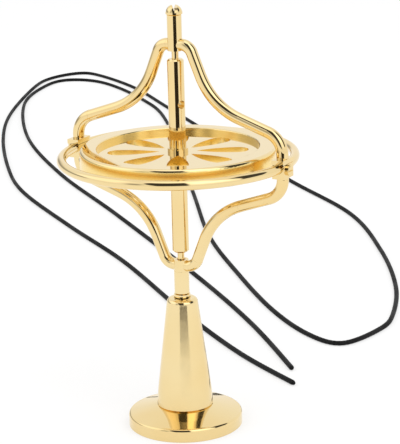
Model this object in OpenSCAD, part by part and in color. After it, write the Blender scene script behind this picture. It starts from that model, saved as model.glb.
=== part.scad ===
// Toy gyroscope standing on a turned pedestal, with its pull string.
// Millimetres, +Z up. The origin is the centre of the pedestal's underside, and the
// yokes lie in the XZ plane. Heights called "half" are measured from the wheel's mid-plane.

/* [Gyroscope] */
// Height of the wheel's and the guard ring's mid-plane above the table
mid_z = 76; // [72:0.5:82]
// Outer diameter of the guard ring
ring_d = 65; // [63:0.5:70]
// Diameter of the guard ring's rod
ring_rod_d = 2.64; // [2.2:0.02:2.8]

/* [Wheel] */
// Outer diameter of the flywheel
wheel_d = 52.8; // [48:0.2:53]
// Height of the flywheel's rim
rim_h = 5.6; // [4.6:0.1:6.4]
// Radial thickness of the rim
rim_w = 4.55; // [3.6:0.05:5]
// Rounding of the rim's outer edges
rim_edge = 0.9; // [0.4:0.1:1.2]
// Rounding of the rim's inner edges
rim_lip = 0.35; // [0.2:0.05:0.5]
// Thickness of the web that carries the petal openings
web_t = 2.8; // [2:0.1:3.4]
// Number of petal openings
petals = 8; // [6:1:8]
// Distance from the axis to a petal's point
petal_in = 5; // [4.6:0.1:6]
// Distance from the axis to the middle of a petal's round end
petal_mid = 16; // [14:0.25:16.5]
// Width of a petal at its round end
petal_w = 5.8; // [4.4:0.1:6.2]
// Angle of the first petal from the yokes' plane
petal_turn = 29; // [0:1:44]

/* [Spindle] */
// Diameter of the spindle
spindle_d = 4.5; // [4:0.1:5]
// Length of a pivot pin that shows between the spindle and the crown
pivot_show = 2.25; // [1.5:0.05:3]
// Chamfer of the spindle's ends
spindle_chamfer = 0.4; // [0.2:0.05:0.6]
// Diameter of the string hole through the spindle
string_hole_d = 2.2; // [1.8:0.1:2.6]
// Height of the string hole above the mid-plane
string_hole_half = 14.4; // [12:0.2:18]
// Angle of the string hole from the yokes' plane
string_hole_turn = -22.5; // [-60:0.5:60]
// Diameter of the sleeve between the spindle and the wheel
sleeve_d = 5.5; // [5.3:0.1:6.5]
// Height of the sleeve
sleeve_h = 4.8; // [3.6:0.1:5.6]
// Diameter of the pivot pins
pivot_d = 1.85; // [1.5:0.05:2.2]
// Depth of a pivot pin in the spindle
pivot_seat = 4; // [3:0.25:6]
// Diameter of the journal at a pivot's end
journal_d = 1; // [0.8:0.05:1.2]
// Length of the journal
journal_l = 1.3; // [1:0.05:1.4]

/* [Yokes] */
// Diameter of the yokes' rod
rod_d = 3.2; // [2.8:0.1:3.4]
// Half height of the crown's centreline
crown_half = 30.35; // [30:0.05:32]
// Half length of the crown's straight top
crown_flat = 2.1; // [1.8:0.1:2.8]
// Bend radius at the crown's corners
crown_bend = 3.2; // [2.6:0.1:3.6]
// Angle of the flare from the vertical
flare_angle = 22; // [19:1:25]
// Length of the flare's straight part
flare_len = 6.4; // [5:0.1:7]
// Radius of the bell curve below the flare
bell_r = 18.5; // [17:0.5:20]
// Angle of the skirt from the vertical
skirt_angle = 71; // [68:1:73]
// Bend radius above the ring
shoulder_r = 6; // [5:0.1:6.4]
// Height of the boss at the crown's middle
boss_h = 3.2; // [3.1:0.1:3.6]
// Diameter of the boss
boss_d = 4; // [3.7:0.1:4.6]

/* [Ring joints] */
// Radial width of the blocks that hold the ring
block_w = 3.4; // [3.2:0.1:4]
// Length of a lower block along the ring
block_l = 5.6; // [4.6:0.1:7]
// Depth of a lower block below the mid-plane
block_drop = 2.7; // [2.2:0.1:3.2]
// Length of an upper saddle along the ring
saddle_l = 6.4; // [4.6:0.1:7.4]
// Height of an upper saddle's top above the mid-plane
saddle_top = 2.4; // [2.2:0.1:2.6]
// Height of the parting plane above the mid-plane
parting_half = 1.05; // [0.8:0.05:1.15]
// Height of the gap at the parting plane
parting_gap = 0.12; // [0.05:0.01:0.15]
// Diameter of a side screw's head
side_head_d = 2.9; // [2.2:0.1:3]
// Height of a side screw's head
side_head_h = 0.8; // [0.7:0.05:0.95]
// Rounding of a side screw's head
side_head_round = 0.35; // [0.2:0.05:0.45]
// Diameter of a side screw's shank
side_shank_d = 1.2; // [1:0.05:1.3]
// Depth of the side screws below the mid-plane
side_screw_drop = 0.6; // [0.4:0.05:0.6]

/* [Posts and knobs] */
// Length of a post between the crown's boss and the knob's seat
post_l = 6.55; // [5.5:0.05:8]
// Diameter of the top post
top_post_d = 3.9; // [3.6:0.1:4.3]
// Diameter of the foot stem
stem_d = 4.1; // [3.6:0.1:4.3]
// Diameter of the posts' spigots in the crown bosses
spigot_d = 2.44; // [2.2:0.02:2.6]
// Length of the spigots
spigot_l = 1.4; // [1:0.05:1.45]
// Diameter of a knob's flange
knob_flange_d = 4.5; // [4.3:0.1:4.6]
// Height of a knob's flange
knob_flange_h = 0.45; // [0.3:0.05:0.6]
// Radius of a knob's dome
dome_r = 2.2; // [2:0.05:2.25]
// Height of the dome's centre above the flange's seat
dome_centre = 0.25; // [0.1:0.05:0.3]
// Width of a knob's slot
slot_w = 1.2; // [0.8:0.1:1.4]
// Depth of a knob's slot
slot_depth = 1.3; // [0.8:0.1:1.5]
// Angle of the slots from the yokes' plane
slot_turn = 134; // [90:1:180]
// Diameter of a knob's shank
shank_d = 1.9; // [1.5:0.05:2.2]
// Length of a knob's shank
shank_l = 4; // [3:0.25:4.5]

/* [Pedestal] */
// Diameter of the base disc
base_d = 31.4; // [28:0.2:36]
// Height of the base disc at its edge
base_edge_h = 3.7; // [3:0.1:4.5]
// Height of the base disc under the column
base_top_h = 5.6; // [5:0.1:6.5]
// Rounding of the base disc's top edge
base_round = 0.8; // [0.4:0.1:1.2]
// Diameter of the column at its bottom
column_foot_d = 15.4; // [14:0.2:17]
// Diameter that the column's taper reaches at its top
column_head_d = 8.6; // [8.2:0.1:9.4]
// Diameter of the column where its taper begins
column_waist_d = 14.8; // [13:0.2:15.2]
// Height of the column where its taper begins
column_waist_z = 10; // [8:0.5:14]
// Height of the lower dome's centre above the column's top
dome_rise = 0.85; // [0.75:0.05:1.35]
// Rounding of the column's top edge
column_round = 1.25; // [0.9:0.05:1.5]
// Chamfer of the column's bottom edge
column_heel = 0.4; // [0.3:0.1:0.8]
// Diameter of the base screw's shank
base_screw_d = 4; // [3:0.1:5]
// Length of the base screw under its head
base_screw_l = 12; // [9:0.5:16]
// Diameter of the base screw's head
base_head_d = 7.6; // [6:0.2:9]
// Height of the base screw's head
base_head_h = 2; // [1.4:0.1:2.4]

/* [Pull string] */
// Diameter of the string
string_d = 1.6; // [1.2:0.1:2]

/* [Clearances] */
// Radial clearance of a running fit
run_gap = 0.05; // [0.03:0.01:0.08]
// Clearance of a fixed fit
fit_gap = 0.02; // [0.01:0.01:0.04]
// Clearance of the ring in its saddles
seat_gap = 0.03; // [0.02:0.01:0.05]
// Gap between faces that turn past each other
face_gap = 0.05; // [0.03:0.01:0.1]
// Gap between the lower knob's dome and the column's dish
dish_gap = 0.3; // [0.2:0.05:0.35]

/* [Hidden] */
$fn = 96;
eps = 0.01; // overshoot of cuts past a face

gold = [0.93, 0.79, 0.45];
satin_gold = [0.86, 0.70, 0.36];
dark_gold = [0.72, 0.55, 0.22];
steel = [0.72, 0.72, 0.70];
string_black = [0.06, 0.06, 0.06];

ring_r = (ring_d - ring_rod_d) / 2;
rod_r = rod_d / 2;
rod_step = 0.02; // how much thinner the straight rod is than its bends
rod_lap = 0.05; // how far the straight rod laps into its bends
boss_in = crown_half - boss_h / 2;
boss_out = crown_half + boss_h / 2;
boss_bore_r = spigot_d / 2 + fit_gap;
post_half = boss_out + post_l;
spindle_half = boss_in - pivot_show;
pocket_r = wheel_d / 2 - rim_w;
wheel_bore_r = sleeve_d / 2 + fit_gap;
pivot_ball_z = mid_z - post_half - dome_centre;
column_top_z = pivot_ball_z - dome_rise;
column_flat_z = column_top_z - column_round;

// Places along one arm of a yoke, as [distance from the axis, half height]
corner_centre = [crown_flat, crown_half - crown_bend];
flare_start = corner_centre + crown_bend * [cos(flare_angle), sin(flare_angle)];
flare_end = flare_start + flare_len * [sin(flare_angle), -cos(flare_angle)];
bell_centre = flare_end + bell_r * [cos(flare_angle), sin(flare_angle)];
skirt_start = bell_centre - bell_r * [cos(skirt_angle), sin(skirt_angle)];
skirt_end_s = ring_r - shoulder_r * (1 - cos(skirt_angle));
skirt_len = (skirt_end_s - skirt_start[0]) / sin(skirt_angle);
skirt_end = skirt_start + skirt_len * [sin(skirt_angle), -cos(skirt_angle)];
shoulder_centre = skirt_end - shoulder_r * [cos(skirt_angle), sin(skirt_angle)];

// ---- Shared shapes ----

// A straight rod from one place of an arm to another, a hair thinner than the bends it laps into
module rod_line(from, to) {
    step = to - from;
    translate([from[0], 0, from[1]])
        rotate([0, atan2(step[0], step[1]), 0])
            translate([0, 0, -rod_lap])
                cylinder(h = norm(step) + 2 * rod_lap, r = rod_r - rod_step);
}

// A bend of the rod round a centre, between two angles above the horizontal
module rod_bend(centre, bend_r, from_angle, to_angle) {
    translate([centre[0], 0, centre[1]])
        rotate([90, 0, 0])
            rotate([0, 0, from_angle])
                rotate_extrude(angle = to_angle - from_angle)
                    translate([bend_r, 0]) circle(r = rod_r);
}

// One bell-curved arm, from the crown's corner down to a half height above the ring
module arm(end_half) {
    rod_bend(corner_centre, crown_bend, flare_angle, 90);
    rod_line(flare_start, flare_end);
    rod_bend(bell_centre, bell_r, 180 + flare_angle, 180 + skirt_angle);
    rod_line(skirt_start, skirt_end);
    rod_bend(shoulder_centre, shoulder_r, 0, skirt_angle);
    rod_line([ring_r, shoulder_centre[1]], [ring_r, end_half]);
}

// Crown, two arms and the boss in the crown's middle, pointing up from the mid-plane
module yoke_frame(end_half) {
    difference() {
        union() {
            rod_line([-crown_flat, crown_half], [crown_flat, crown_half]);
            arm(end_half);
            mirror([1, 0, 0]) arm(end_half);
            translate([0, 0, boss_in]) cylinder(h = boss_h, d = boss_d);
        }
        translate([0, 0, boss_in - 1]) cylinder(h = boss_h + 2, r = boss_bore_r);
    }
}

// The space that the ring's rod needs, open towards +Z
module ring_channel(open_top) {
    channel_r = ring_rod_d / 2 + seat_gap;
    rotate_extrude()
        translate([ring_r, 0])
            union() {
                circle(r = channel_r);
                translate([-channel_r, 0]) square([2 * channel_r, open_top]);
            }
}

// A block on the ring's line, on both sides of the yoke
module blocks(length, from_half, to_half) {
    for (side = [-1, 1])
        translate([side * ring_r - block_w / 2, -length / 2, from_half])
            cube([block_w, length, to_half - from_half]);
}

// Holes for the side screws, from outside to past the ring
module side_screw_holes() {
    for (side = [0, 180])
        rotate([0, 0, side])
            translate([ring_r - ring_rod_d / 2 - eps, 0, -side_screw_drop])
                rotate([0, 90, 0])
                    cylinder(h = block_w, d = side_shank_d + 2 * fit_gap);
}

// A slotted dome on a flange, with its shank pointing down from z = 0
module knob() {
    difference() {
        union() {
            cylinder(h = knob_flange_h, d = knob_flange_d);
            intersection() {
                translate([0, 0, dome_centre]) sphere(r = dome_r);
                translate([0, 0, knob_flange_h - eps]) cylinder(h = 2 * dome_r, d = knob_flange_d);
            }
            translate([0, 0, -shank_l]) cylinder(h = shank_l + eps, d = shank_d);
        }
        rotate([0, 0, slot_turn])
            translate([-dome_r - 1, -slot_w / 2, dome_centre + dome_r - slot_depth])
                cube([2 * dome_r + 2, slot_w, slot_depth + 1]);
    }
}

// A turned post, from the crown boss to the knob's seat, pointing up
module post(post_d, seat_gap_top) {
    chamfer = 0.3;
    top_half = post_half - seat_gap_top;
    bore_r = shank_d / 2 + run_gap;
    difference() {
        rotate_extrude()
            polygon([[0, boss_out - spigot_l], [spigot_d / 2, boss_out - spigot_l],
                [spigot_d / 2, boss_out], [post_d / 2, boss_out],
                [post_d / 2, top_half - chamfer], [post_d / 2 - chamfer, top_half], [0, top_half]]);
        translate([0, 0, post_half - shank_l - 0.3]) cylinder(h = shank_l + 1, r = bore_r);
    }
}

// A bearing bush in the crown boss, open towards the wheel
module bearing() {
    bush_l = boss_h - spigot_l - fit_gap;
    bore_l = min(journal_l + 0.2, bush_l - 0.15);
    translate([0, 0, boss_in])
        difference() {
            cylinder(h = bush_l, d = spigot_d);
            translate([0, 0, -1]) cylinder(h = 1 + bore_l, r = journal_d / 2 + run_gap);
        }
}

// A pivot pin: its seat in the spindle, its shoulder and its journal, pointing up
module pivot() {
    shoulder_half = boss_in - 2 * face_gap;
    point = journal_d / 4;
    rotate_extrude()
        polygon([[0, spindle_half - pivot_seat], [pivot_d / 2, spindle_half - pivot_seat],
            [pivot_d / 2, shoulder_half], [journal_d / 2, shoulder_half],
            [journal_d / 2, shoulder_half + journal_l - point],
            [journal_d / 4, shoulder_half + journal_l], [0, shoulder_half + journal_l]]);
}

// A rectangle with one radius on its outer corners and another on its inner ones
module rim_section() {
    inner = pocket_r;
    outer = wheel_d / 2;
    half = rim_h / 2;
    union() {
        translate([inner + rim_lip, -half]) square([rim_w - rim_lip - rim_edge, rim_h]);
        translate([inner, -half + rim_lip]) square([rim_w / 2, rim_h - 2 * rim_lip]);
        translate([inner + rim_w / 2, -half + rim_edge]) square([rim_w / 2, rim_h - 2 * rim_edge]);
        for (side = [-1, 1]) {
            translate([inner + rim_lip, side * (half - rim_lip)]) circle(r = rim_lip);
            translate([outer - rim_edge, side * (half - rim_edge)]) circle(r = rim_edge);
        }
    }
}

// A petal along +X: pointed at the hub, bellied sides, round at the rim
module petal() {
    reach = petal_mid - petal_in;
    belly = petal_w / 2;
    side_r = (reach * reach + belly * belly) / (2 * belly);
    union() {
        intersection() {
            translate([petal_mid, side_r - belly]) circle(r = side_r);
            translate([petal_mid, belly - side_r]) circle(r = side_r);
            translate([0, -petal_w]) square([petal_mid, 2 * petal_w]);
        }
        translate([petal_mid, 0]) circle(r = belly);
    }
}

// ---- Pedestal ----

module base_disc() {
    edge_r = base_d / 2;
    recess_z = base_top_h - 2.4;
    color(gold)
        difference() {
            rotate_extrude()
                union() {
                    polygon([[0, 0], [edge_r - 0.2, 0], [edge_r, 0.2], [edge_r, base_edge_h - base_round],
                        [edge_r - base_round, base_edge_h], [column_foot_d / 2, base_top_h],
                        [0, base_top_h]]);
                    translate([edge_r - base_round, base_edge_h - base_round]) circle(r = base_round);
                }
            translate([0, 0, -1]) cylinder(h = base_top_h + 2, d = base_screw_d + 0.4);
            translate([0, 0, -1]) cylinder(h = 1 + base_head_h + 0.3, d = base_head_d + 0.4);
        }
}

module column() {
    foot_r = column_foot_d / 2;
    head_r = column_head_d / 2;
    color(satin_gold)
        difference() {
            rotate_extrude()
                union() {
                    polygon([[0, base_top_h], [foot_r - column_heel, base_top_h],
                        [foot_r, base_top_h + column_heel], [column_waist_d / 2, column_waist_z],
                        [head_r, column_flat_z], [head_r - column_round, column_top_z], [0, column_top_z]]);
                    translate([head_r - column_round, column_flat_z]) circle(r = column_round);
                }
            translate([0, 0, pivot_ball_z]) sphere(r = dome_r + dish_gap);
            translate([0, 0, base_top_h - 1])
                cylinder(h = 1 + base_head_h + 0.3 + base_screw_l + 1 - base_top_h,
                    d = base_screw_d + 2 * fit_gap);
        }
}

module base_screw() {
    seat_z = base_head_h + 0.3;
    color(steel)
        difference() {
            union() {
                translate([0, 0, 0.3]) cylinder(h = base_head_h, d = base_head_d);
                translate([0, 0, seat_z - eps]) cylinder(h = base_screw_l + eps, d = base_screw_d);
            }
            translate([-base_head_d, -0.5, -1]) cube([2 * base_head_d, 1, 2]);
        }
}

// ---- Pull string ----

// Hand-chosen route of the string on the table, from one bare end to the other
ROUTE = [[15, 38], [-12, 55], [-46, 82], [-93, 123], [-136, 155], [-180, 190], [-208, 221],
    [-241, 266], [-266, 309], [-289, 364], [-294, 388], [-287, 405], [-273, 403], [-241, 383],
    [-206, 352], [-155, 306], [-90, 249], [-46, 212], [-16, 172], [5, 136], [16, 108], [18, 93],
    [13, 76], [0, 79], [-21, 96], [-49, 126], [-81, 164], [-117, 217], [-189, 323], [-224, 361],
    [-262, 388], [-283, 388], [-286, 370], [-272, 330], [-231, 271], [-182, 221], [-128, 176],
    [-63, 120], [-22, 82], [9, 49]];
ROUTE_STEPS = 2; // rings from one route point to the next
STRING_SIDES = 8;

function route_at(i) = ROUTE[max(0, min(len(ROUTE) - 1, i))];
// A smooth curve through the route points, at a fraction t after point i
function smooth_point(i, t) = let (a = route_at(i - 1), b = route_at(i), c = route_at(i + 1), d = route_at(i + 2))
    0.5 * (2 * b + (c - a) * t + (2 * a - 5 * b + 4 * c - d) * t * t + (3 * b - a - 3 * c + d) * t * t * t);
function unit(v) = v / norm(v);

string_line = [for (i = [0 : len(ROUTE) - 2], k = [0 : ROUTE_STEPS - 1]) smooth_point(i, k / ROUTE_STEPS),
    ROUTE[len(ROUTE) - 1]];

module pull_string() {
    last = len(string_line) - 1;
    string_r = string_d / 2;
    points = [for (i = [0 : last])
        let (along = unit(string_line[min(last, i + 1)] - string_line[max(0, i - 1)]), across = [along[1], -along[0]])
        for (k = [0 : STRING_SIDES - 1])
            let (a = 360 * (k + 0.5) / STRING_SIDES, p = string_line[i] + string_r * cos(a) * across)
            [p[0], p[1], string_r + string_r * sin(a)]];
    walls = [for (i = [0 : last - 1], k = [0 : STRING_SIDES - 1], half = [0, 1])
        let (a = i * STRING_SIDES + k, b = i * STRING_SIDES + (k + 1) % STRING_SIDES)
        half == 0 ? [a, a + STRING_SIDES, b] : [b, a + STRING_SIDES, b + STRING_SIDES]];
    start_cap = [[for (k = [0 : STRING_SIDES - 1]) k]];
    end_cap = [[for (k = [STRING_SIDES - 1 : -1 : 0]) last * STRING_SIDES + k]];
    color(string_black) polyhedron(points = points, faces = concat(walls, start_cap, end_cap));
}

// ---- Foot and frame ----

module foot_knob() {
    color(gold)
        translate([0, 0, mid_z - post_half]) rotate([180, 0, 0]) knob();
}

module top_knob() {
    color(gold)
        translate([0, 0, mid_z + post_half]) knob();
}

module top_post() {
    color(gold)
        translate([0, 0, mid_z]) post(top_post_d, 0);
}

module foot_stem() {
    color(gold)
        translate([0, 0, mid_z]) mirror([0, 0, 1]) post(stem_d, face_gap);
}

module upper_yoke() {
    color(gold)
        translate([0, 0, mid_z])
            difference() {
                union() {
                    yoke_frame(saddle_top);
                    blocks(saddle_l, parting_half + parting_gap, saddle_top);
                }
                mirror([0, 0, 1]) ring_channel(block_drop);
            }
}

module lower_yoke() {
    color(gold)
        translate([0, 0, mid_z])
            difference() {
                union() {
                    mirror([0, 0, 1]) yoke_frame(block_drop);
                    blocks(block_l, -block_drop, parting_half);
                }
                ring_channel(saddle_top);
                side_screw_holes();
            }
}

module guard_ring() {
    color(gold)
        translate([0, 0, mid_z])
            difference() {
                rotate_extrude($fn = 180) translate([ring_r, 0]) circle(d = ring_rod_d);
                side_screw_holes();
            }
}

// Half the outline of a side screw's round-edged head
module side_head_section() {
    head_r = side_head_d / 2;
    inner_r = head_r - side_head_round;
    inner_h = side_head_h - side_head_round;
    union() {
        square([inner_r, side_head_h]);
        square([head_r, inner_h]);
        translate([inner_r, inner_h]) circle(r = side_head_round);
    }
}

module side_screws() {
    face_r = ring_r + block_w / 2;
    shank_l = block_w / 2 + ring_rod_d / 2 - 0.1;
    color(gold)
        for (side = [0, 180])
            translate([0, 0, mid_z - side_screw_drop])
                rotate([0, 0, side])
                    difference() {
                        union() {
                            translate([face_r, 0, 0]) rotate([0, 90, 0]) rotate_extrude() side_head_section();
                            translate([face_r - shank_l, 0, 0])
                                rotate([0, 90, 0]) cylinder(h = shank_l + eps, d = side_shank_d);
                        }
                        translate([face_r + side_head_h / 2, -side_head_d, -0.25])
                            cube([1, 2 * side_head_d, 0.5]);
                    }
}

module upper_bearing() {
    color(dark_gold)
        translate([0, 0, mid_z]) bearing();
}

module lower_bearing() {
    color(dark_gold)
        translate([0, 0, mid_z]) mirror([0, 0, 1]) bearing();
}

// ---- Rotor ----

module rotor_wheel() {
    color(gold)
        translate([0, 0, mid_z])
            difference() {
                union() {
                    rotate_extrude($fn = 180)
                        union() {
                            rim_section();
                            translate([wheel_bore_r, -web_t / 2])
                                square([pocket_r + rim_w / 2 - wheel_bore_r, web_t]);
                        }
                }
                for (i = [0 : petals - 1])
                    rotate([0, 0, petal_turn + i * 360 / petals])
                        translate([0, 0, -web_t])
                            linear_extrude(height = 2 * web_t) petal();
            }
}

module hub_sleeve() {
    color(gold)
        translate([0, 0, mid_z - sleeve_h / 2])
            difference() {
                cylinder(h = sleeve_h, d = sleeve_d);
                translate([0, 0, -1]) cylinder(h = sleeve_h + 2, d = spindle_d + 2 * fit_gap);
            }
}

// Half the spindle's outline, with its chamfered ends
module spindle_section() {
    edge = spindle_d / 2;
    end_r = edge - spindle_chamfer;
    end_half = spindle_half - spindle_chamfer;
    polygon([[0, -spindle_half], [end_r, -spindle_half], [edge, -end_half],
        [edge, end_half], [end_r, spindle_half], [0, spindle_half]]);
}

module spindle() {
    color(gold)
        translate([0, 0, mid_z])
            difference() {
                rotate_extrude() spindle_section();
                for (end = [0, 1])
                    mirror([0, 0, end])
                        translate([0, 0, spindle_half - pivot_seat - 0.2])
                            cylinder(h = pivot_seat + 1, d = pivot_d + 2 * fit_gap);
                rotate([0, 0, string_hole_turn])
                    translate([-spindle_d, 0, string_hole_half])
                        rotate([0, 90, 0]) cylinder(h = 2 * spindle_d, d = string_hole_d);
            }
}

module upper_pivot() {
    color(gold)
        translate([0, 0, mid_z]) pivot();
}

module lower_pivot() {
    color(gold)
        translate([0, 0, mid_z]) mirror([0, 0, 1]) pivot();
}

base_disc();
column();
base_screw();
pull_string();
foot_knob();
foot_stem();
lower_yoke();
upper_yoke();
guard_ring();
side_screws();
top_post();
top_knob();
upper_bearing();
lower_bearing();
rotor_wheel();
hub_sleeve();
spindle();
upper_pivot();
lower_pivot();
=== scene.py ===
"""Looks of the toy gyroscope on its pedestal, with its pull string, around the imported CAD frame.

Everything is in metres in the CAD's frame: +Z up, the origin under the middle of the base disc.
"""

import math

import bpy
from mathutils import Matrix, Vector


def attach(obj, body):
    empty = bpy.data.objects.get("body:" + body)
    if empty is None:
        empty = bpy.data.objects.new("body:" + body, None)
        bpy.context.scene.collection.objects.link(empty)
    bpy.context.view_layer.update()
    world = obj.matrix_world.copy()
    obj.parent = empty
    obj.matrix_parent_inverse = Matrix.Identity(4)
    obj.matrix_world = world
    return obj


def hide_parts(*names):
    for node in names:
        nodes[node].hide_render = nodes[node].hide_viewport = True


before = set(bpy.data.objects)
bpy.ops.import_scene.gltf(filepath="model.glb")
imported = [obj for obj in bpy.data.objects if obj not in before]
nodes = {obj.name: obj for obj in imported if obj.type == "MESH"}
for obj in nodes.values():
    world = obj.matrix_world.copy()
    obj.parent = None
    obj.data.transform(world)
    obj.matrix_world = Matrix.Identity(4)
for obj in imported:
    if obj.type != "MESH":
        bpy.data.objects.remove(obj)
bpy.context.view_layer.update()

MM = 0.001
UP = Vector((0, 0, 1))
scene = bpy.context.scene

# ---- Camera: the photograph's angle, fitted on the axis, the ring and the base disc ----

CAMERA_AT = Vector((253.56, -446.32, 201.75)) * MM
CAMERA_TARGET = Vector((4.71, 2.61, 57.54)) * MM
CAMERA_ROLL = math.radians(-1.518)
CAMERA_FOV = math.radians(12.837)  # from the picture's top to its bottom
CAMERA_AZIMUTH = math.degrees(math.atan2(CAMERA_AT.y, CAMERA_AT.x))
CLIP_NEAR = 0.01
CLIP_FAR = 20.0
SENSOR_H = 24.0  # mm


def link_object(name, data):
    piece = bpy.data.objects.new(name, data)
    scene.collection.objects.link(piece)
    return piece


def facing(at, target):
    """Where a camera or lamp stands and how it is turned, to look from one point at another."""
    turn = (target - at).to_track_quat("-Z", "Y").to_matrix().to_4x4()
    return Matrix.Translation(at) @ turn


def make_camera():
    data = bpy.data.cameras.new("camera")
    data.sensor_fit = "VERTICAL"
    data.sensor_height = SENSOR_H
    data.lens = SENSOR_H / (2 * math.tan(CAMERA_FOV / 2))
    data.clip_start = CLIP_NEAR
    data.clip_end = CLIP_FAR
    camera = link_object("camera", data)
    camera.matrix_world = facing(CAMERA_AT, CAMERA_TARGET) @ Matrix.Rotation(CAMERA_ROLL, 4, "Z")
    scene.camera = camera


make_camera()

# ---- Node material helpers ----

# The sockets of a colour Mix node, which has several with the same names
MIX_SHARE, MIX_A, MIX_B, MIX_RESULT = 0, 6, 7, 2


class Nodes:
    """A material's or the world's node tree, with short calls to add and link its nodes."""

    def __init__(self, name=None, tree=None):
        if tree is None:
            self.material = bpy.data.materials.new(name)
            self.material.use_nodes = True
            tree = self.material.node_tree
        self.tree = tree
        self.tree.nodes.clear()
        kind = "OutputMaterial" if name else "OutputWorld"
        self.output = self.tree.nodes.new("ShaderNode" + kind)

    def give(self, node, socket, value):
        """A value sets the socket, and another node's socket is linked to it."""
        if isinstance(value, bpy.types.NodeSocket):
            self.tree.links.new(value, node.inputs[socket])
        else:
            node.inputs[socket].default_value = value

    def add(self, kind, **inputs):
        """A new node with its inputs, whose names have _ for a space."""
        node = self.tree.nodes.new("ShaderNode" + kind)
        for name, value in inputs.items():
            self.give(node, name.replace("_", " "), value)
        return node

    def noise(self, scale, detail=2.0, roughness=0.5):
        """A pattern in the piece's own frame, with its scale in features per metre."""
        place = self.add("TexCoord").outputs["Object"]
        node = self.add("TexNoise", Vector=place, Scale=scale, Detail=detail, Roughness=roughness)
        return node.outputs["Fac"]

    def ramp(self, value, from_min, from_max, to_min, to_max):
        """value, from one range to another, with a smooth start and end."""
        node = self.add("MapRange", From_Min=from_min, From_Max=from_max,
                        To_Min=to_min, To_Max=to_max)
        node.interpolation_type = "SMOOTHSTEP"
        node.clamp = True
        self.give(node, "Value", value)
        return node.outputs["Result"]

    def math(self, operation, a, b=0.0):
        node = self.add("Math")
        node.operation = operation
        self.give(node, 0, a)
        self.give(node, 1, b)
        return node.outputs[0]

    def mix(self, share, a, b):
        """Colour a to colour b by share."""
        node = self.add("Mix")
        node.data_type = "RGBA"
        self.give(node, MIX_SHARE, share)
        self.give(node, MIX_A, a)
        self.give(node, MIX_B, b)
        return node.outputs[MIX_RESULT]

    def bump(self, height, strength, distance):
        node = self.add("Bump", Height=height, Strength=strength, Distance=distance)
        return node.outputs["Normal"]

    def finish(self, shader):
        """The shader, or the world's background, as what the tree gives."""
        self.tree.links.new(shader.outputs[0], self.output.inputs["Surface"])

    def shade(self, **inputs):
        self.finish(self.add("BsdfPrincipled", **inputs))
        return self.material


def linear(red, green, blue):
    """A colour as it is seen, 0 to 255, as the linear one that a shader takes."""
    parts = []
    for value in (red, green, blue):
        value = value / 255
        parts.append(value / 12.92 if value <= 0.04045 else ((value + 0.055) / 1.055) ** 2.4)
    return (*parts, 1.0)


# ---- Pull string: one black braided string with two bare ends, loose on the table ----

# The route of part.scad, in millimetres on the table
ROUTE_MM = [
    (15, 38), (-12, 55), (-46, 82), (-93, 123), (-136, 155), (-180, 190), (-208, 221),
    (-241, 266), (-266, 309), (-289, 364), (-294, 388), (-287, 405), (-273, 403), (-241, 383),
    (-206, 352), (-155, 306), (-90, 249), (-46, 212), (-16, 172), (5, 136), (16, 108), (18, 93),
    (13, 76), (0, 79), (-21, 96), (-49, 126), (-81, 164), (-117, 217), (-189, 323), (-224, 361),
    (-262, 388), (-283, 388), (-286, 370), (-272, 330), (-231, 271), (-182, 221), (-128, 176),
    (-63, 120), (-22, 82), (9, 49),
]
ROUTE_FINE = 20  # steps from one point of the route to the next, to measure it
STRING_D = 1.6 * MM
STRING_STEP = 0.45 * MM  # from ring to ring of the mesh
STRING_SIDES = 16
STRING_END_SHARES = (0.55, 0.85)  # of the radius, in the first rings from either end
BRAID_STRANDS = 4  # that wind each way
BRAID_PITCH = 5.2 * MM  # a strand's rise in one turn
BRAID_RELIEF = 0.09 * MM
STRING_DARK = linear(10, 10, 11)
STRING_LIGHT = linear(30, 30, 31)
STRING_SHEEN = 0.15
FIBRE_SCALE = 2600.0
FIBRE_DEPTH = 0.06 * MM
WEAR_SCALE = 90.0


def route_point(index, share):
    """The smooth curve through the route's points, at a share of the way after one of them."""
    last = len(ROUTE_MM) - 1
    around = [max(0, min(last, index + k)) for k in (-1, 0, 1, 2)]
    a, b, c, d = (Vector(ROUTE_MM[i]) for i in around)
    bend = 2 * a - 5 * b + 4 * c - d
    twist = 3 * b - a - 3 * c + d
    return (2 * b + (c - a) * share + bend * share**2 + twist * share**3) * 0.5 * MM


def even_route(step):
    """Points along the smooth route, a step apart, at the string's own height."""
    spans = range(len(ROUTE_MM) - 1)
    fine = [route_point(i, k / ROUTE_FINE) for i in spans for k in range(ROUTE_FINE)]
    fine.append(Vector(ROUTE_MM[-1]) * MM)
    reach = [0.0]
    for a, b in zip(fine, fine[1:]):
        reach.append(reach[-1] + (b - a).length)
    count = round(reach[-1] / step)
    points = []
    at = 0
    for i in range(count + 1):
        want = reach[-1] * i / count
        while at < len(fine) - 2 and reach[at + 1] < want:
            at += 1
        share = (want - reach[at]) / (reach[at + 1] - reach[at])
        flat = fine[at].lerp(fine[at + 1], min(1.0, share))
        points.append(Vector((flat.x, flat.y, STRING_D / 2)))
    return points


def braid_radius(angle, turn):
    """The string's radius at an angle round it, where its strands cross over and under."""
    over = math.cos(BRAID_STRANDS * angle + BRAID_STRANDS * turn)
    under = math.cos(BRAID_STRANDS * angle - BRAID_STRANDS * turn)
    return STRING_D / 2 - BRAID_RELIEF / 2 + BRAID_RELIEF / 2 * over * under


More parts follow.
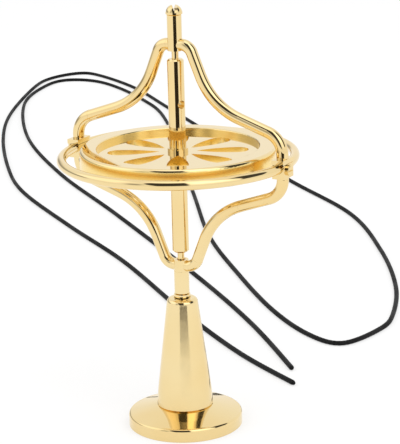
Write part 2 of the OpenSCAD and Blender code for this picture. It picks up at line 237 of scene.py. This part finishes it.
def string_mesh(path):
    """A tube along the path, closed and drawn in at its two ends."""
    vertices = []
    last = len(path) - 1
    for i, centre in enumerate(path):
        along = (path[min(last, i + 1)] - path[max(0, i - 1)]).normalized()
        across = Vector((along.y, -along.x, 0))
        turn = 2 * math.pi * i * STRING_STEP / BRAID_PITCH
        end = min(i, last - i)
        narrow = STRING_END_SHARES[end] if end < len(STRING_END_SHARES) else 1.0
        for k in range(STRING_SIDES):
            angle = 2 * math.pi * k / STRING_SIDES
            outward = math.cos(angle) * across + math.sin(angle) * UP
            vertices.append(centre + braid_radius(angle, turn) * narrow * outward)
    faces = []
    for i in range(last):
        for k in range(STRING_SIDES):
            a = i * STRING_SIDES + k
            b = i * STRING_SIDES + (k + 1) % STRING_SIDES
            faces.append((a, b, b + STRING_SIDES, a + STRING_SIDES))
    faces.append(tuple(reversed(range(STRING_SIDES))))
    faces.append(tuple(last * STRING_SIDES + k for k in range(STRING_SIDES)))
    mesh = bpy.data.meshes.new("pull_string_braid")
    mesh.from_pydata([tuple(v) for v in vertices], [], faces)
    mesh.flip_normals()
    mesh.shade_smooth()
    return mesh


def string_material():
    m = Nodes("braided_string")
    fibre = m.noise(FIBRE_SCALE, 3.0)
    wear = m.noise(WEAR_SCALE)
    return m.shade(
        Base_Color=m.mix(m.ramp(fibre, 0.35, 0.7, 0.0, 1.0), STRING_DARK, STRING_LIGHT),
        Roughness=m.ramp(wear, 0.3, 0.7, 0.5, 0.68),
        Specular_IOR_Level=STRING_SHEEN,
        Normal=m.bump(fibre, 0.5, FIBRE_DEPTH),
    )


def make_string():
    path = even_route(STRING_STEP)
    string = link_object("pull_string_braid", string_mesh(path))
    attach(string, "stand")
    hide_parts("pull_string")
    string.data.materials.append(string_material())


make_string()

# ---- Metals ----

GOLD = linear(240, 218, 166)
GOLD_DEEP = linear(238, 211, 152)
# Painted light: a brighter gold for the wheel's walls and petal sides, in place of the light their
# mirrored bounces lose
GOLD_WALL_PAINTED_BRIGHTER = linear(250, 222, 148)
BRONZE = linear(190, 140, 80)
STEEL = linear(196, 194, 188)
CLOUD_SCALE = 38.0  # where the plating's colour changes
SMEAR_SCALE = 120.0  # where its gloss changes
WAVE_SCALE = 260.0
WAVE_DEPTH = 0.02 * MM
# This mask also places the painted brighter gold on the wheel's walls
WALL_UPRIGHT = (0.25, 0.7)  # how far a normal points up or down on a wall, and on a top
TURNED_SCALE = 900.0
TURNED_SHADE = 0.85  # of the metal's colour, in the tool's lines
TURNED_MOTTLE = 0.12


def smeared(m, roughness, mottle):
    return m.ramp(m.noise(SMEAR_SCALE, 4.0, 0.6), 0.35, 0.75, roughness, roughness + mottle)


def wavy(m, wave):
    return m.bump(m.noise(WAVE_SCALE), wave, WAVE_DEPTH)


def gold(name, roughness, mottle, wave):
    """Pale gold plating: its smears, its mottling and the slight waviness under the polish."""
    m = Nodes(name)
    cloud = m.ramp(m.noise(CLOUD_SCALE), 0.35, 0.65, 0.0, 1.0)
    return m.shade(
        Base_Color=m.mix(cloud, GOLD, GOLD_DEEP),
        Metallic=1.0,
        Roughness=smeared(m, roughness, mottle),
        Normal=wavy(m, wave),
    )


def rotor_gold(name, top_roughness, wall_roughness, mottle, wave):
    """The wheel's plating: its turned tops are bright, its walls and petal sides duller. The walls'
    colour is painted light: a brighter gold that stands in for the light their mirrored bounces
    lose.
    """
    m = Nodes(name)
    upright = m.add("SeparateXYZ", Vector=m.add("TexCoord").outputs["Normal"]).outputs["Z"]
    wall = m.ramp(m.math("ABSOLUTE", upright), *WALL_UPRIGHT, 1.0, 0.0)
    duller = m.math("MULTIPLY", wall, wall_roughness - top_roughness)
    return m.shade(
        # The walls, where the normals point sideways, take the painted brighter gold
        Base_Color=m.mix(wall, GOLD, GOLD_WALL_PAINTED_BRIGHTER),
        Metallic=1.0,
        Roughness=m.math("ADD", duller, smeared(m, top_roughness, mottle)),
        Normal=wavy(m, wave),
    )


def plain_metal(name, colour, roughness):
    """Turned metal with fine tool lines."""
    m = Nodes(name)
    lines = m.noise(TURNED_SCALE, 3.0)
    shade = (*(TURNED_SHADE * part for part in colour[:3]), 1.0)
    return m.shade(
        Base_Color=m.mix(m.ramp(lines, 0.3, 0.7, 0.0, 1.0), colour, shade),
        Metallic=1.0,
        Roughness=m.ramp(lines, 0.3, 0.7, roughness, roughness + TURNED_MOTTLE),
    )


wheel_gold = rotor_gold("wheel_gold_plating", 0.04, 0.2, mottle=0.03, wave=0.15)
polished = gold("polished_gold_plating", 0.035, mottle=0.03, wave=0.15)
satin = gold("satin_gold_plating", 0.12, mottle=0.08, wave=0.3)
bronze = plain_metal("bearing_bronze", BRONZE, 0.3)
steel = plain_metal("turned_steel", STEEL, 0.25)

# Every other node of metal is polished
FINISH = {
    "column": satin,
    "rotor_wheel": wheel_gold,
    "upper_bearing": bronze,
    "lower_bearing": bronze,
    "base_screw": steel,
}

for name, piece in nodes.items():
    if name != "pull_string":
        piece.data.materials.clear()
        piece.data.materials.append(FINISH.get(name, polished))

# ---- Studio: a white table and background, soft lamps and black cards that only metal mirrors ----

FLOOR_HALF = 6.0
FLOOR_PAINT = 0.34  # how much of the lamps' light the table gives back
FLOOR_GLOW = 0.62  # the rest of its white, for the rays that see the background


def background_rays(m):
    """1 for the rays that see the background: the camera's, and those of a mirror or glass."""
    path = m.add("LightPath")
    seen = m.math("MAXIMUM", path.outputs["Is Camera Ray"], path.outputs["Is Glossy Ray"])
    return m.math("MAXIMUM", seen, path.outputs["Is Transmission Ray"])


def make_floor():
    mesh = bpy.data.meshes.new("floor")
    half = FLOOR_HALF
    corners = [(-half, -half, 0), (half, -half, 0), (half, half, 0), (-half, half, 0)]
    mesh.from_pydata(corners, [], [(0, 1, 2, 3)])
    link_object("floor", mesh)
    m = Nodes("white_table")
    paper = m.add("BsdfDiffuse", Color=(FLOOR_PAINT, FLOOR_PAINT, FLOOR_PAINT, 1.0))
    glow = m.add("Emission", Strength=m.math("MULTIPLY", background_rays(m), FLOOR_GLOW))
    both = m.add("AddShader")
    m.give(both, 0, paper.outputs[0])
    m.give(both, 1, glow.outputs[0])
    m.finish(both)
    mesh.materials.append(m.material)


# What the metal mirrors above the table: patches of brightness by direction, each over the ones
# before it, on a white of 1. Each is (brightness, softness, left edge, left slope, right edge,
# right slope, bottom, top), in degrees. Edges are azimuths from the camera's, positive to its
# right, at the horizon; a slope is how far an edge moves for each degree of elevation.
STUDIO_PATCHES = [
    (0.4, 14, -164, 0.0, -96, 0.0, -1, 15),
    (1.3, 14, -118, 0.0, -62, 0.0, 18, 62),
    (1.25, 8, 10, 0.0, 62, 0.0, 12, 78),
    (1.8, 14, 14, 0.0, 58, 0.0, 32, 78),
    (1.4, 8, -400, 0.0, 400, 0.0, 74, 100),
    (0.45, 10, -51, 0.0, -36, 0.0, 6, 34),
    (0.05, 4, -19, -0.45, 9, 0.0, 3, 66),
    (0.06, 5, 55, 0.35, 74, 0.85, 14, 62),
]


def sky_angles(n):
    """The sockets of a direction's azimuth from the camera's and its elevation, in degrees."""
    turned = n.add("VectorRotate", Vector=n.add("TexCoord").outputs["Generated"],
                   Angle=math.radians(-CAMERA_AZIMUTH))
    turned.rotation_type = "Z_AXIS"
    x, y, z = n.add("SeparateXYZ", Vector=turned.outputs[0]).outputs
    azimuth = n.math("MULTIPLY", n.math("ARCTAN2", y, x), 180 / math.pi)
    elevation = n.math("MULTIPLY", n.math("ARCSINE", z), 180 / math.pi)
    return azimuth, elevation


def mirrored_light(n):
    """The brightness of the studio's patches, the later ones over the earlier ones."""
    azimuth, elevation = sky_angles(n)
    light = 1.0
    for brightness, soft, left, left_slope, right, right_slope, bottom, top in STUDIO_PATCHES:
        past_left = n.math("SUBTRACT", azimuth, n.math("MULTIPLY", elevation, left_slope))
        past_right = n.math("SUBTRACT", azimuth, n.math("MULTIPLY", elevation, right_slope))
        inside = 1.0
        for value, edge, below, above in (
            (past_left, left, 0, 1),
            (past_right, right, 1, 0),
            (elevation, bottom, 0, 1),
            (elevation, top, 1, 0),
        ):
            side = n.ramp(value, edge - soft / 2, edge + soft / 2, below, above)
            inside = n.math("MULTIPLY", inside, side)
        light = n.math("ADD", n.math("MULTIPLY", inside, brightness),
                       n.math("MULTIPLY", n.math("SUBTRACT", 1.0, inside), light))
    return light


def make_world():
    world = bpy.data.worlds.new("studio")
    scene.world = world
    world.use_nodes = True
    n = Nodes(tree=world.node_tree)
    mirrored = n.add("LightPath").outputs["Is Glossy Ray"]
    strength = n.math("ADD", n.math("MULTIPLY", mirrored, mirrored_light(n)),
                      n.math("SUBTRACT", 1.0, mirrored))
    n.finish(n.add("Background", Color=(1.0, 1.0, 1.0, 1.0), Strength=strength))


# The dark far edge of the table, which only metal mirrors, as [nearest, farthest] from the axis
DARK_EDGE_REACH = (0.30, 0.75)
DARK_EDGE_FROM = -20  # azimuth from the camera's, degrees
DARK_EDGE_TO = 31
DARK_EDGE_STEPS = 12
DARK_EDGE_HEIGHT = 0.5 * MM
DARK_EDGE_COLOUR = (0.03, 0.025, 0.02, 1.0)


def make_dark_edge():
    vertices = []
    for i in range(DARK_EDGE_STEPS + 1):
        turn = DARK_EDGE_FROM + (DARK_EDGE_TO - DARK_EDGE_FROM) * i / DARK_EDGE_STEPS
        turn = math.radians(CAMERA_AZIMUTH + turn)
        for reach in DARK_EDGE_REACH:
            vertices.append((reach * math.cos(turn), reach * math.sin(turn), DARK_EDGE_HEIGHT))
    faces = [(2 * i, 2 * i + 1, 2 * i + 3, 2 * i + 2) for i in range(DARK_EDGE_STEPS)]
    mesh = bpy.data.meshes.new("dark_edge")
    mesh.from_pydata(vertices, [], faces)
    card = link_object("dark_edge", mesh)
    card.visible_camera = False
    card.visible_diffuse = False
    card.visible_shadow = False
    m = Nodes("black_card")
    m.finish(m.add("Emission", Color=DARK_EDGE_COLOUR))
    mesh.materials.append(m.material)


# Name, azimuth from the camera's and elevation in degrees, distance and size in metres, watts
LAMPS = [
    ("key", 35, 55, 1.2, 0.8, 4.0),
    ("fill", -70, 45, 1.2, 0.9, 2.0),
]


def make_lamp(name, azimuth, elevation, distance, size, power):
    data = bpy.data.lights.new(name, "AREA")
    data.shape = "SQUARE"
    data.size = size
    data.energy = power
    lamp = link_object(name, data)
    turn = math.radians(CAMERA_AZIMUTH + azimuth)
    rise = math.radians(elevation)
    level = Vector((math.cos(turn), math.sin(turn), 0))
    at = (math.cos(rise) * level + math.sin(rise) * UP) * distance
    lamp.matrix_world = facing(at, Vector((0, 0, 0)))
    lamp.visible_glossy = False


make_floor()
make_world()
make_dark_edge()
for lamp in LAMPS:
    make_lamp(*lamp)

scene.view_settings.view_transform = "Standard"
